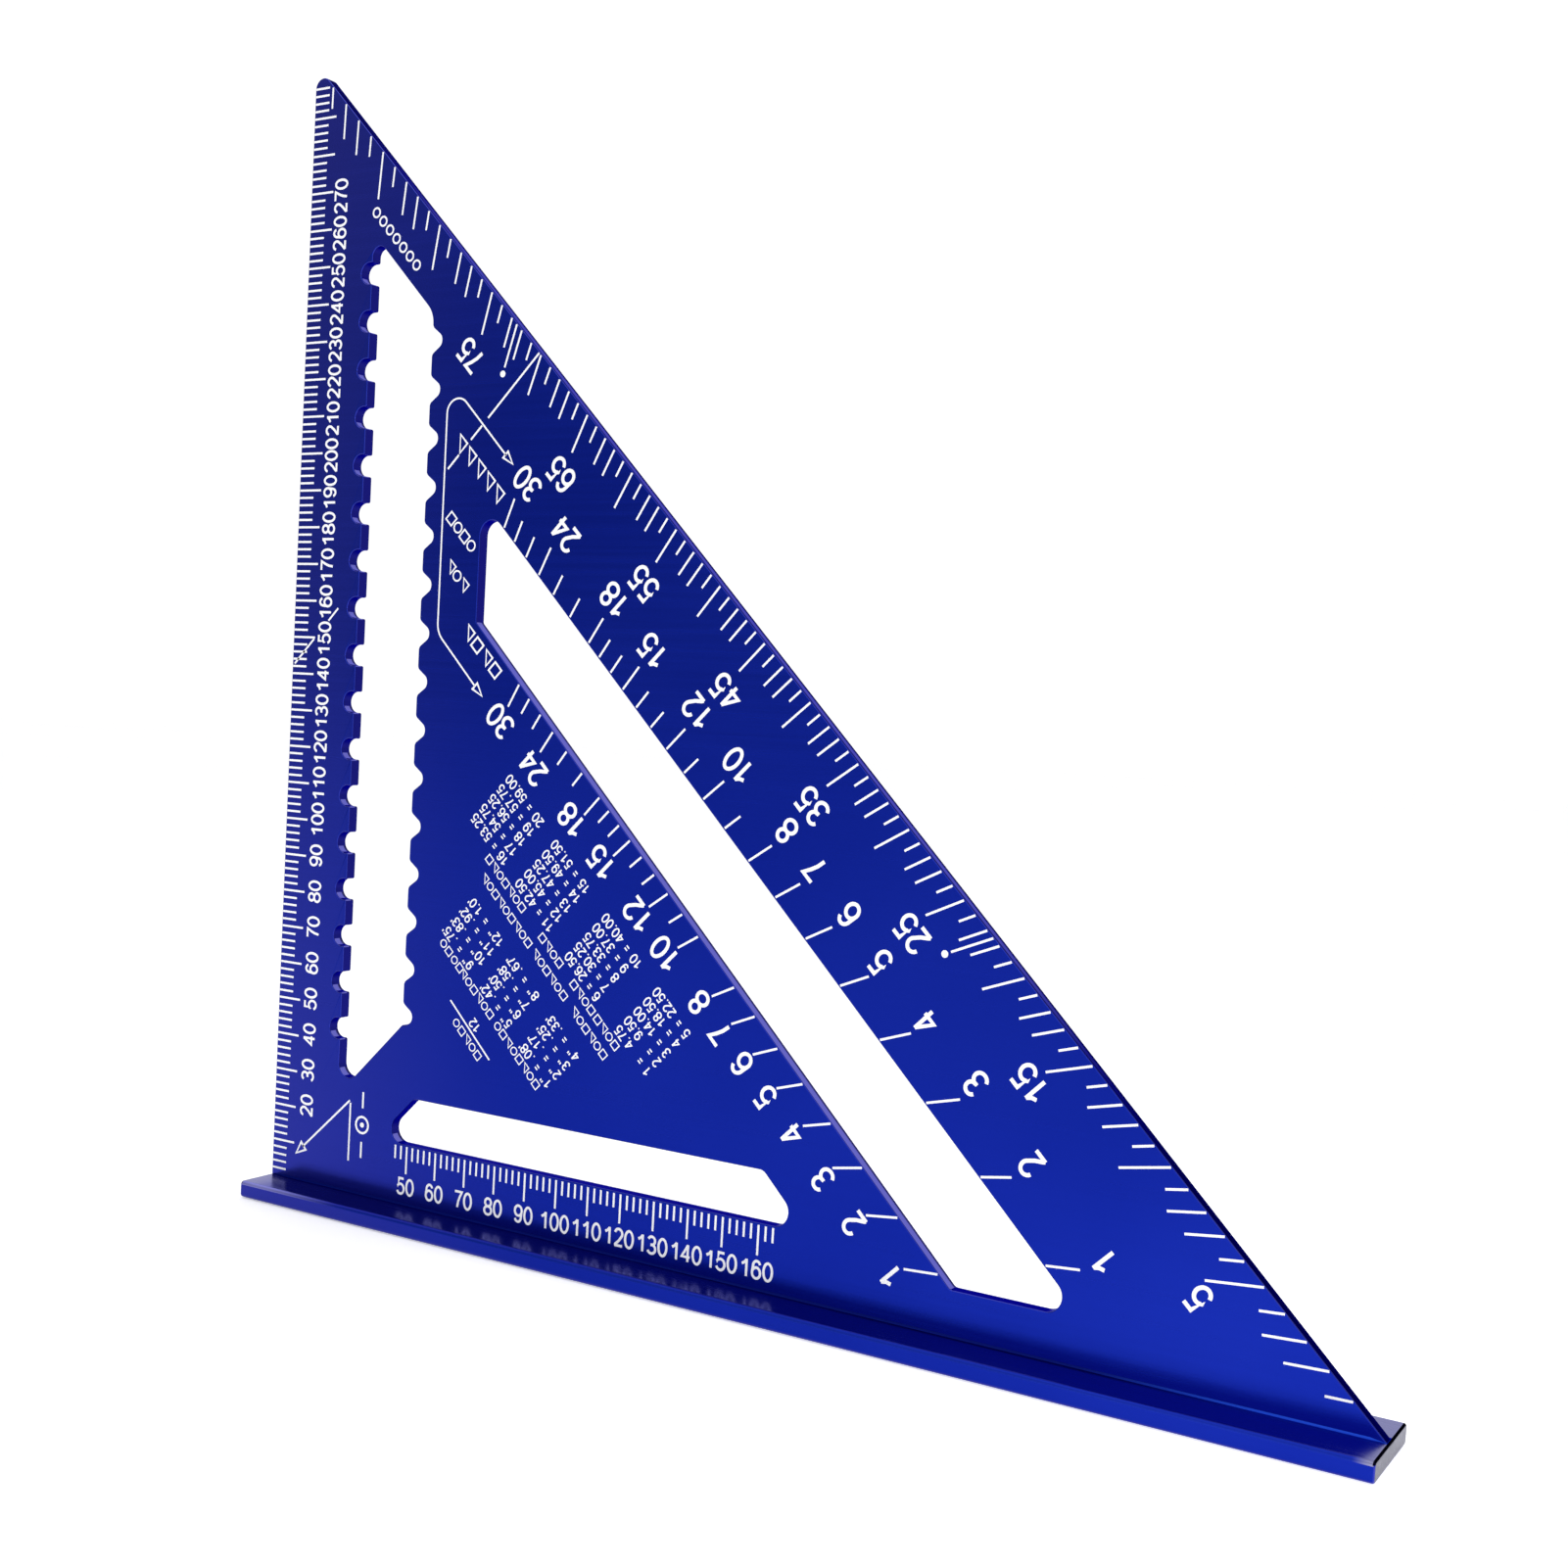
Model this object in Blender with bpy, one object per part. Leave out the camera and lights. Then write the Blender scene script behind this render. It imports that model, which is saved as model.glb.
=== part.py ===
"""Speed square: a 45 degree triangular aluminium blade that stands on a T-shaped fence.

Metres, +Z up. The square stands on its fence as it does on a bench: X runs along the fence from
the scale's corner (the pivot) to the toe, Y is the blade's thickness, and the blade rises along Z.
The origin is the middle of the fence's underside.

Outlines are drawn in scale coordinates: x from the blade's upright edge, z from the fence's ledge,
which is where the engraved scales have their zero.
"""

import math

import bpy
from mathutils import Vector

MM = 0.001
INCH = 25.4

# Driving dimensions, in millimetres.
LEG = 12 * INCH              # the slope meets both legs 12 in from the pivot
BLADE_THICKNESS = 3.2
TIP_RADIUS = 2.8
FENCE_LENGTH = 305.4
FENCE_WIDTH = 26.6
FENCE_THICKNESS = 4.5
SEAT_DEPTH = 2.0             # how far the blade's foot sits in the fence
CLEARANCE = 0.3              # between the blade's foot and its seat
FENCE_EDGE_RADIUS = 1.0
EDGE_CHAMFER = 0.3
ARC_STEP = 15                # degrees of turn for each facet of a round corner

# The notched slot next to the upright edge.
NOTCH_PITCH = INCH / 2
SCRIBE_WALL_X = 23.5
SCRIBE_WALL_DEPTH = 3.9
SCRIBE_NOTCH_WIDTH = 5.7
SCRIBE_LIP_RADIUS = 0.5
SCRIBE_FIRST = 44.1
SCRIBE_COUNT = 17
GRIP_WALL_X = 45.6
GRIP_WALL_DEPTH = 3.3
GRIP_MOUTH = 7.06
GRIP_FLOOR = 2.2
GRIP_RADIUS = 2.0
GRIP_SHOULDER_RADIUS = 1.5
GRIP_FIRST = 50.4
GRIP_COUNT = 15
NOTCHED_FOOT = 2.4           # z - x along the slot's lower end
NOTCHED_HEAD = 281.0         # x + z along its upper end
SCRIBE_HEAD_RADIUS = 2.4     # where the upper end meets the left wall
GRIP_HEAD_RADIUS = 7.0       # where it meets the right wall
LEAD_IN_RUN = 1.6            # the lower end's flat run into the first scallop
LEAD_IN_RISE = 0.2
LEAD_IN_RADIUS = 0.4

# The long slot that runs along the slope.
RAFTER_INNER = 220.1         # x + z along its lower edge
RAFTER_OUTER = 251.5         # x + z along its upper edge
RAFTER_LEFT_X = 64.8
RAFTER_FOOT_Z = 10.6
RAFTER_LEFT_RADIUS = 1.0     # the slot's two blunt corners
RAFTER_FOOT_RADIUS = 1.5

# The slot above the fence.
BASE_FOOT_Z = 16.2
BASE_HEAD_Z = 28.8
BASE_LEFT = 22.1             # x - z along its left end
BASE_RIGHT = 188.4           # x + z along its right end
BASE_HEAD_RADIUS = 2.5       # its two blunt corners
SHARP_CORNER_RADIUS = 3.7    # the 45 degree corners of all three slots

# Blue anodised aluminium.
BLADE_COLOR = (0.012, 0.02, 0.27)
FENCE_COLOR = (0.012, 0.02, 0.30)
ANODISED_ROUGHNESS = 0.3
ANODISED_METALLIC = 0.9


def clear_scene():
    for item in list(bpy.data.objects):
        bpy.data.objects.remove(item, do_unlink=True)


def anodised(name, color):
    made = bpy.data.materials.new(name)
    made.use_nodes = True
    shader = made.node_tree.nodes["Principled BSDF"]
    shader.inputs["Base Color"].default_value = (*color, 1.0)
    shader.inputs["Roughness"].default_value = ANODISED_ROUGHNESS
    shader.inputs["Metallic"].default_value = ANODISED_METALLIC
    return made


def rounded(corners):
    """The points of a closed outline whose corners (x, z, radius) are turned into arcs."""
    points = []
    for index, (x, z, radius) in enumerate(corners):
        corner = Vector((x, z))
        if radius == 0:
            points.append(corner)
            continue
        before = (Vector(corners[index - 1][:2]) - corner).normalized()
        after = (Vector(corners[(index + 1) % len(corners)][:2]) - corner).normalized()
        half = before.angle(after) / 2
        centre = corner + (before + after).normalized() * radius / math.sin(half)
        start = corner + before * radius / math.tan(half) - centre
        turn = math.pi - 2 * half
        if before.cross(after) > 0:
            turn = -turn
        steps = max(2, math.ceil(abs(math.degrees(turn)) / ARC_STEP))
        for step in range(steps + 1):
            angle = turn * step / steps
            cosine = math.cos(angle)
            sine = math.sin(angle)
            spoke = Vector((start.x * cosine - start.y * sine, start.x * sine + start.y * cosine))
            points.append(centre + spoke)
    return points


def scribe_notch(z):
    """A pencil notch in the slot's left wall, from its upper lip down to its lower lip."""
    half = SCRIBE_NOTCH_WIDTH / 2
    floor = SCRIBE_WALL_X - SCRIBE_WALL_DEPTH
    return [
        (SCRIBE_WALL_X, z + half, SCRIBE_LIP_RADIUS),
        (floor, z + half, half),
        (floor, z - half, half),
        (SCRIBE_WALL_X, z - half, SCRIBE_LIP_RADIUS),
    ]


def grip_notch(z):
    """A scallop in the slot's right wall, from its lower lip up to its upper lip."""
    floor = GRIP_WALL_X + GRIP_WALL_DEPTH
    return [
        (GRIP_WALL_X, z - GRIP_MOUTH / 2, GRIP_SHOULDER_RADIUS),
        (floor, z - GRIP_FLOOR / 2, GRIP_RADIUS),
        (floor, z + GRIP_FLOOR / 2, GRIP_RADIUS),
        (GRIP_WALL_X, z + GRIP_MOUTH / 2, GRIP_SHOULDER_RADIUS),
    ]


def notched_slot():
    foot_z = GRIP_WALL_X + NOTCHED_FOOT
    corners = [(SCRIBE_WALL_X, SCRIBE_WALL_X + NOTCHED_FOOT, SHARP_CORNER_RADIUS)]
    corners.append((GRIP_WALL_X, foot_z, LEAD_IN_RADIUS))
    corners.append((GRIP_WALL_X + LEAD_IN_RUN, foot_z + LEAD_IN_RISE, LEAD_IN_RADIUS))
    corners += grip_notch(GRIP_FIRST)[1:]
    for index in range(1, GRIP_COUNT):
        corners += grip_notch(GRIP_FIRST + index * NOTCH_PITCH)
    corners.append((GRIP_WALL_X, NOTCHED_HEAD - GRIP_WALL_X, GRIP_HEAD_RADIUS))
    corners.append((SCRIBE_WALL_X, NOTCHED_HEAD - SCRIBE_WALL_X, SCRIBE_HEAD_RADIUS))
    for index in reversed(range(SCRIBE_COUNT)):
        corners += scribe_notch(SCRIBE_FIRST + index * NOTCH_PITCH)
    return rounded(corners)


def rafter_slot():
    return rounded([
        (RAFTER_LEFT_X, RAFTER_INNER - RAFTER_LEFT_X, RAFTER_LEFT_RADIUS),
        (RAFTER_INNER - RAFTER_FOOT_Z, RAFTER_FOOT_Z, RAFTER_FOOT_RADIUS),
        (RAFTER_OUTER - RAFTER_FOOT_Z, RAFTER_FOOT_Z, SHARP_CORNER_RADIUS),
        (RAFTER_LEFT_X, RAFTER_OUTER - RAFTER_LEFT_X, SHARP_CORNER_RADIUS),
    ])


def base_slot():
    return rounded([
        (BASE_LEFT + BASE_FOOT_Z, BASE_FOOT_Z, SHARP_CORNER_RADIUS),
        (BASE_RIGHT - BASE_FOOT_Z, BASE_FOOT_Z, SHARP_CORNER_RADIUS),
        (BASE_RIGHT - BASE_HEAD_Z, BASE_HEAD_Z, BASE_HEAD_RADIUS),
        (BASE_LEFT + BASE_HEAD_Z, BASE_HEAD_Z, BASE_HEAD_RADIUS),
    ])


def blade_outline():
    foot = CLEARANCE - SEAT_DEPTH
    return rounded([
        (0, foot, 0),
        (LEG, foot, 0),
        (LEG, 0, 0),
        (0, LEG, TIP_RADIUS),
    ])


def fence_profile():
    """The fence's section: y across the fence, z from its underside."""
    half = FENCE_WIDTH / 2
    seat_half = BLADE_THICKNESS / 2 + CLEARANCE
    seat_z = FENCE_THICKNESS - SEAT_DEPTH
    return rounded([
        (-half, 0, FENCE_EDGE_RADIUS),
        (half, 0, FENCE_EDGE_RADIUS),
        (half, FENCE_THICKNESS, FENCE_EDGE_RADIUS),
        (seat_half, FENCE_THICKNESS, 0),
        (seat_half, seat_z, 0),
        (-seat_half, seat_z, 0),
        (-seat_half, FENCE_THICKNESS, 0),
        (-half, FENCE_THICKNESS, FENCE_EDGE_RADIUS),
    ])


def extruded(name, outlines, thickness, finish):
    """A plate with chamfered edges. The outer outline runs anticlockwise, and holes clockwise."""
    curve = bpy.data.curves.new(name, "CURVE")
    curve.dimensions = "2D"
    curve.fill_mode = "BOTH"
    curve.extrude = (thickness / 2 - EDGE_CHAMFER) * MM
    curve.bevel_depth = EDGE_CHAMFER * MM
    curve.bevel_resolution = 0
    curve.offset = -EDGE_CHAMFER * MM
    for outline in outlines:
        spline = curve.splines.new("POLY")
        spline.points.add(len(outline) - 1)
        for point, place in zip(spline.points, outline):
            point.co = (place.x * MM, place.y * MM, 0, 1)
        spline.use_cyclic_u = True
    curve.materials.append(finish)
    made = bpy.data.objects.new(name, curve)
    bpy.context.collection.objects.link(made)
    return made


def make_blade(finish):
    slots = [notched_slot(), rafter_slot(), base_slot()]
    outlines = [blade_outline()] + [slot[::-1] for slot in slots]
    blade = extruded("blade", outlines, BLADE_THICKNESS, finish)
    blade.rotation_euler = (math.radians(90), 0, 0)
    blade.location = (-FENCE_LENGTH / 2 * MM, 0, FENCE_THICKNESS * MM)
    return blade


def make_fence(finish):
    fence = extruded("fence", [fence_profile()], FENCE_LENGTH, finish)
    fence.rotation_euler = (math.radians(90), 0, math.radians(90))
    return fence


def main():
    clear_scene()
    make_blade(anodised("blade_blue_anodised", BLADE_COLOR))
    make_fence(anodised("fence_blue_anodised", FENCE_COLOR))


main()
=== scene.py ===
"""The looks of a blue anodised speed square: rounded edges, printed scales, and its studio.

Metres, +Z up, in the frame of the CAD model: the square stands on its fence, X runs along the
fence from the right-angled corner to the toe, and the blade's printed face looks along -Y.

Everything on the blade is laid out in millimetres, in the scales' own two coordinates: x from the
blade's upright edge and z from the fence's ledge, so (0, 0) is the pivot. What follows the slope
is placed by u, along the slope from its middle towards the tip, and w, the depth below it.
"""

import math

import bmesh
import bpy
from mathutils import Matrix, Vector
from mathutils.geometry import delaunay_2d_cdt


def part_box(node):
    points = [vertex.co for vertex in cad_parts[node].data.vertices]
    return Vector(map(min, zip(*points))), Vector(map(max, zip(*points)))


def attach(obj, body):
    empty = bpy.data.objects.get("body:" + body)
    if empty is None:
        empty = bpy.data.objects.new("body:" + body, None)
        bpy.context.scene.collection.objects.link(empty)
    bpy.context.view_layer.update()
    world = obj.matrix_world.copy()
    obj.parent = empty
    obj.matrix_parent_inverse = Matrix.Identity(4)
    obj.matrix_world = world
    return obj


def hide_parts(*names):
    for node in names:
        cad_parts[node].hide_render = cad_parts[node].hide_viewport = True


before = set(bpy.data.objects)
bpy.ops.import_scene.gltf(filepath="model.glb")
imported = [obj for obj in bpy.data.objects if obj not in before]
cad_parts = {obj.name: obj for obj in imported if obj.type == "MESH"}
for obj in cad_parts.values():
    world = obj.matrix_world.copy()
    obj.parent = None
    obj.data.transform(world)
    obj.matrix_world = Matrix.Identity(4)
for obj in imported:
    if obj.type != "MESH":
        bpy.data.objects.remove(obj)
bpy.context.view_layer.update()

MM = 0.001
INCH = 25.4

# The frame, in metres.
BLADE_LOW, BLADE_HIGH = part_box("blade")
FENCE_LOW, FENCE_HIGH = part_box("fence")
PIVOT = Vector((BLADE_LOW.x, BLADE_LOW.y, FENCE_HIGH.z))

# The plate and the bar, in millimetres.
BLADE_THICKNESS = (BLADE_HIGH.y - BLADE_LOW.y) / MM
FENCE_LENGTH = (FENCE_HIGH.x - FENCE_LOW.x) / MM
FENCE_WIDTH = (FENCE_HIGH.y - FENCE_LOW.y) / MM
FENCE_THICKNESS = (FENCE_HIGH.z - FENCE_LOW.z) / MM
LEG = 12 * INCH
TIP_RADIUS = 2.8
EDGE_RADIUS = 0.28
FENCE_EDGE_RADIUS = 1.0
FENCE_END_RADIUS = 0.55
ROOT_RADIUS = 0.5            # the inside corner between ledge and blade
ROOT_RUNOUT = 4.0            # its fillet fades out this far from the bar's ends
ROOT_DEPTH = 1.5             # how far the plate runs down into the bar
ARC_STEP = 6                 # degrees

# The notched slot.
NOTCH_PITCH = INCH / 2
SCRIBE_WALL_X = 23.5
SCRIBE_WALL_DEPTH = 3.9
SCRIBE_NOTCH_WIDTH = 5.7
SCRIBE_LIP_RADIUS = 0.5
SCRIBE_FIRST = 44.1
SCRIBE_COUNT = 17
GRIP_WALL_X = 45.6
GRIP_WALL_DEPTH = 3.3
GRIP_MOUTH = 7.06
GRIP_FLOOR = 2.2
GRIP_RADIUS = 2.0
GRIP_SHOULDER_RADIUS = 1.5
GRIP_FIRST = 50.4
GRIP_COUNT = 15
NOTCHED_FOOT = 2.4           # z - x along the slot's lower end
NOTCHED_HEAD = 281.0         # x + z along its upper end
SCRIBE_HEAD_RADIUS = 2.4
GRIP_HEAD_RADIUS = 7.0
LEAD_IN_RUN = 1.6
LEAD_IN_RISE = 0.2
LEAD_IN_RADIUS = 0.4

# The slot along the slope, and the one above the fence.
RAFTER_INNER = 220.1         # x + z along its lower edge
RAFTER_OUTER = 251.5         # x + z along its upper edge
RAFTER_LEFT_X = 64.8
RAFTER_FOOT_Z = 10.6
RAFTER_LEFT_RADIUS = 1.0
RAFTER_FOOT_RADIUS = 1.5
BASE_FOOT_Z = 16.2
BASE_HEAD_Z = 28.8
BASE_LEFT = 22.1             # x - z along its left end
BASE_RIGHT = 188.4           # x + z along its right end
BASE_HEAD_RADIUS = 2.5
SHARP_CORNER_RADIUS = 3.7

# Print.
PRINT_HEIGHT = 0.04          # how far the white print stands off the blade
PRINT_DEPTH = 0.05           # and how far it is keyed into it
THIN_LINE = 0.46
FINE_LINE = 0.56
LINE = 0.54
DIGIT_WIDTH = 0.62           # of a numeral's height
DIGIT_PITCH = 0.66
DIGIT_STROKE = 0.135
BIG_NUMERAL = 6.8
SMALL_NUMERAL = 4.8
TABLE_NUMERAL = 2.85

# Modelling tolerances, in millimetres.
WELD_DISTANCE = 0.002
PRINT_MERGE_DISTANCE = 0.0005
MITRE_LIMIT = 1.7            # the longest mitre, against half of the line's width


# ---------------------------------------------------------------- outlines

def arc(x, z, radius_x, radius_z, start, end):
    """Points along part of an ellipse, from one angle to another in degrees."""
    steps = max(2, math.ceil(abs(end - start) / (2 * ARC_STEP)))
    angles = [math.radians(start + (end - start) * step / steps) for step in range(steps + 1)]
    return [(x + radius_x * math.cos(angle), z + radius_z * math.sin(angle)) for angle in angles]


def oval(x, z, radius_x, radius_z):
    """The points of a whole ellipse."""
    return arc(x, z, radius_x, radius_z, 0, 360)[:-1]


def rounded(corners, closed=True):
    """The points of an outline whose corners (x, z, radius) are turned into arcs."""
    points = []
    for index, (x, z, radius) in enumerate(corners):
        corner = Vector((x, z))
        is_end = not closed and index in (0, len(corners) - 1)
        if radius == 0 or is_end:
            points.append(corner)
            continue
        before = (Vector(corners[index - 1][:2]) - corner).normalized()
        after = (Vector(corners[(index + 1) % len(corners)][:2]) - corner).normalized()
        half = before.angle(after) / 2
        centre = corner + (before + after).normalized() * radius / math.sin(half)
        start = corner + before * radius / math.tan(half) - centre
        turn = math.pi - 2 * half
        if before.cross(after) > 0:
            turn = -turn
        steps = max(2, math.ceil(abs(math.degrees(turn)) / ARC_STEP))
        for step in range(steps + 1):
            angle = turn * step / steps
            cosine = math.cos(angle)
            sine = math.sin(angle)
            spoke = Vector((start.x * cosine - start.y * sine, start.x * sine + start.y * cosine))
            points.append(centre + spoke)
    return points


def scribe_notch(z):
    """A pencil notch in the slot's left wall, from its upper lip down to its lower lip."""
    half = SCRIBE_NOTCH_WIDTH / 2
    floor = SCRIBE_WALL_X - SCRIBE_WALL_DEPTH
    return [
        (SCRIBE_WALL_X, z + half, SCRIBE_LIP_RADIUS),
        (floor, z + half, half),
        (floor, z - half, half),
        (SCRIBE_WALL_X, z - half, SCRIBE_LIP_RADIUS),
    ]


def grip_notch(z):
    """A scallop in the slot's right wall, from its lower lip up to its upper lip."""
    floor = GRIP_WALL_X + GRIP_WALL_DEPTH
    return [
        (GRIP_WALL_X, z - GRIP_MOUTH / 2, GRIP_SHOULDER_RADIUS),
        (floor, z - GRIP_FLOOR / 2, GRIP_RADIUS),
        (floor, z + GRIP_FLOOR / 2, GRIP_RADIUS),
        (GRIP_WALL_X, z + GRIP_MOUTH / 2, GRIP_SHOULDER_RADIUS),
    ]


def notched_slot():
    """The slot with pencil notches down its left wall and scallops up its right wall."""
    foot_z = GRIP_WALL_X + NOTCHED_FOOT
    corners = [(SCRIBE_WALL_X, SCRIBE_WALL_X + NOTCHED_FOOT, SHARP_CORNER_RADIUS)]
    corners.append((GRIP_WALL_X, foot_z, LEAD_IN_RADIUS))
    corners.append((GRIP_WALL_X + LEAD_IN_RUN, foot_z + LEAD_IN_RISE, LEAD_IN_RADIUS))
    corners += grip_notch(GRIP_FIRST)[1:]
    for index in range(1, GRIP_COUNT):
        corners += grip_notch(GRIP_FIRST + index * NOTCH_PITCH)
    corners.append((GRIP_WALL_X, NOTCHED_HEAD - GRIP_WALL_X, GRIP_HEAD_RADIUS))
    corners.append((SCRIBE_WALL_X, NOTCHED_HEAD - SCRIBE_WALL_X, SCRIBE_HEAD_RADIUS))
    for index in reversed(range(SCRIBE_COUNT)):
        corners += scribe_notch(SCRIBE_FIRST + index * NOTCH_PITCH)
    return rounded(corners)


def rafter_slot():
    """The slot that follows the slope."""
    return rounded([
        (RAFTER_LEFT_X, RAFTER_INNER - RAFTER_LEFT_X, RAFTER_LEFT_RADIUS),
        (RAFTER_INNER - RAFTER_FOOT_Z, RAFTER_FOOT_Z, RAFTER_FOOT_RADIUS),
        (RAFTER_OUTER - RAFTER_FOOT_Z, RAFTER_FOOT_Z, SHARP_CORNER_RADIUS),
        (RAFTER_LEFT_X, RAFTER_OUTER - RAFTER_LEFT_X, SHARP_CORNER_RADIUS),
    ])


def base_slot():
    """The slot above the fence."""
    return rounded([
        (BASE_LEFT + BASE_FOOT_Z, BASE_FOOT_Z, SHARP_CORNER_RADIUS),
        (BASE_RIGHT - BASE_FOOT_Z, BASE_FOOT_Z, SHARP_CORNER_RADIUS),
        (BASE_RIGHT - BASE_HEAD_Z, BASE_HEAD_Z, BASE_HEAD_RADIUS),
        (BASE_LEFT + BASE_HEAD_Z, BASE_HEAD_Z, BASE_HEAD_RADIUS),
    ])


def blade_outline():
    """The plate's triangle, carried on down into the bar."""
    return rounded([
        (0, -ROOT_DEPTH, 0),
        (LEG, -ROOT_DEPTH, 0),
        (LEG, 0, 0),
        (0, LEG, TIP_RADIUS),
    ])


def fence_profile():
    """The bar's section: y across it and z from its underside, with fillets up to the blade."""
    half = FENCE_WIDTH / 2
    root = BLADE_THICKNESS / 2
    top = FENCE_THICKNESS + ROOT_RADIUS
    outer_edges = rounded([
        (-half, 0, FENCE_EDGE_RADIUS),
        (half, 0, FENCE_EDGE_RADIUS),
        (half, FENCE_THICKNESS, FENCE_EDGE_RADIUS),
        (-half, FENCE_THICKNESS, FENCE_EDGE_RADIUS),
    ])
    right_fillet = arc(root + ROOT_RADIUS, top, ROOT_RADIUS, ROOT_RADIUS, 270, 180)
    left_fillet = arc(-root - ROOT_RADIUS, top, ROOT_RADIUS, ROOT_RADIUS, 0, -90)
    top_left = next(i for i, (y, z) in enumerate(outer_edges) if y < 0 and z > FENCE_THICKNESS / 2)
    fillets = [Vector(point) for point in right_fillet + left_fillet]
    return outer_edges[:top_left] + fillets + outer_edges[top_left:]


# ---------------------------------------------------------------- solids

def finish_piece(piece, materials):
    """Puts a piece with its materials into the scene, fixed to the square."""
    for material in materials:
        piece.data.materials.append(material)
    bpy.context.collection.objects.link(piece)
    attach(piece, "root")


def extruded(name, outlines, thickness, edge_radius, place):
    """A closed plate with rounded edges. The outer outline runs anticlockwise, and holes clockwise.

    place turns a point (x, z, depth) in millimetres into one in metres.
    """
    curve = bpy.data.curves.new(name, "CURVE")
    curve.dimensions = "2D"
    curve.fill_mode = "BOTH"
    curve.extrude = thickness / 2 - edge_radius
    curve.bevel_depth = edge_radius
    curve.bevel_resolution = 3
    curve.offset = -edge_radius
    for outline in outlines:
        spline = curve.splines.new("POLY")
        spline.points.add(len(outline) - 1)
        for point, corner in zip(spline.points, outline):
            point.co = (corner[0], corner[1], 0, 1)
        spline.use_cyclic_u = True
    source = bpy.data.objects.new(name, curve)
    mesh = bpy.data.meshes.new_from_object(source)
    bpy.data.objects.remove(source)
    for vertex in mesh.vertices:
        vertex.co = place(vertex.co)
    shape = bmesh.new()
    shape.from_mesh(mesh)
    bmesh.ops.remove_doubles(shape, verts=shape.verts, dist=WELD_DISTANCE * MM)
    bmesh.ops.recalc_face_normals(shape, faces=shape.faces)
    shape.to_mesh(mesh)
    shape.free()
    mesh.name = name
    return bpy.data.objects.new(name, mesh)


def shade_with_true_flats(piece):
    """Smooth rounded edges beside faces that stay flat."""
    piece.data.shade_smooth()
    normals = piece.modifiers.new("flat_faces_stay_flat", "WEIGHTED_NORMAL")
    normals.mode = "FACE_AREA"
    normals.weight = 100
    normals.keep_sharp = True


UP_THE_SLOPE = Vector((1, 0, 1)).normalized()

# The places of the blade's materials, and of the fence's.
FLAT, FRONT_EDGE, HIGHLIT_WALL, SHADE_PAINTED, SLOPE = range(5)
SIDE, SAWN_END, END_EDGE, FILLET, LEDGE, END_CORNER, LONG_EDGE = range(7)


def blade_material_index(face):
    """The place of a blade face's material, from the way the face looks and where it is."""
    if abs(face.normal.y) > 0.97:
        return FLAT
    # The front rounded edges take a painted highlight; the back ones and the walls that don't face up
    # the slope take painted shade.
    if face.normal.y < -0.2:
        return FRONT_EDGE
    if face.normal.y >= 0.2 or face.normal.dot(UP_THE_SLOPE) <= 0.94:
        return SHADE_PAINTED
    below_slope = LEG * MM - (face.center.x - PIVOT.x) - (face.center.z - PIVOT.z)
    return SLOPE if below_slope < MM else HIGHLIT_WALL


def fence_material_index(face):
    """The place of a fence face's material, from the way the face looks and where it is."""
    along = abs(face.normal.x)
    root = (BLADE_THICKNESS / 2 + ROOT_RADIUS) * MM
    if along > 0.9:
        return SAWN_END
    if along > 0.15 and face.normal.z > 0.3:
        return END_CORNER
    if along > 0.3:
        return END_EDGE
    if abs(face.center.y) < root and face.center.z > FENCE_HIGH.z:
        return FILLET
    if 0.1 < face.normal.z < 0.98:
        return LONG_EDGE
    return LEDGE if face.normal.z > 0.9 else SIDE


def make_blade():
    """The plate: its triangle and the three slots cut through it."""
    slots = (notched_slot(), rafter_slot(), base_slot())
    outlines = [blade_outline()] + [slot[::-1] for slot in slots]

    def place(point):
        return (PIVOT.x + point.x * MM, -point.z * MM, PIVOT.z + point.y * MM)

    blade = extruded("blade_plate", outlines, BLADE_THICKNESS, EDGE_RADIUS, place)
    finish_piece(blade, [
        anodised("anodised_blade"),
        worn_edge("blade_edge"),
        rubbed_wall("blade_slant_wall"),
        deep_dye("blade_wall"),
        slope_wall("blade_slope"),
    ])
    for face in blade.data.polygons:
        face.material_index = blade_material_index(face)
    shade_with_true_flats(blade)
    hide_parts("blade")


def run_out_fillets(fence, middle_x):
    """Fades the fillets along the blade's foot to nothing at the bar's two ends."""
    shape = bmesh.new()
    shape.from_mesh(fence.data)
    runout = (FENCE_LENGTH / 2 - ROOT_RUNOUT) * MM
    for cut in (middle_x - runout, middle_x + runout):
        everything = shape.verts[:] + shape.edges[:] + shape.faces[:]
        bmesh.ops.bisect_plane(shape, geom=everything, plane_co=(cut, 0, 0), plane_no=(1, 0, 0))
    beyond_fillets = (BLADE_THICKNESS / 2 + ROOT_RADIUS + 1) * MM
    rings = {}
    for vertex in shape.verts:
        if abs(vertex.co.x - middle_x) > runout + MM:
            rings.setdefault(round(vertex.co.x / MM, 2), []).append(vertex)
    for ring_vertices in rings.values():
        ledge_z = max(vertex.co.z for vertex in ring_vertices if abs(vertex.co.y) > beyond_fillets)
        for vertex in ring_vertices:
            vertex.co.z = min(vertex.co.z, ledge_z)
    shape.to_mesh(fence.data)
    shape.free()


def make_fence():
    """The bar that the plate stands in."""
    middle_x = (FENCE_LOW.x + FENCE_HIGH.x) / 2

    def place(point):
        return (middle_x + point.z * MM, point.x * MM, FENCE_LOW.z + point.y * MM)

    fence = extruded("fence_bar", [fence_profile()], FENCE_LENGTH, FENCE_END_RADIUS, place)
    run_out_fillets(fence, middle_x)
    finish_piece(fence, [
        anodised("anodised_fence"),
        cut_end("fence_end"),
        worn_edge("fence_end_edge"),
        root_dye("fence_root"),
        ledge("fence_ledge"),
        dark_corner("fence_end_corner"),
        ledge_edge("fence_ledge_edge"),
    ])
    for face in fence.data.polygons:
        face.material_index = fence_material_index(face)
    shade_with_true_flats(fence)
    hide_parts("fence")


# ---------------------------------------------------------------- flat print

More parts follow.
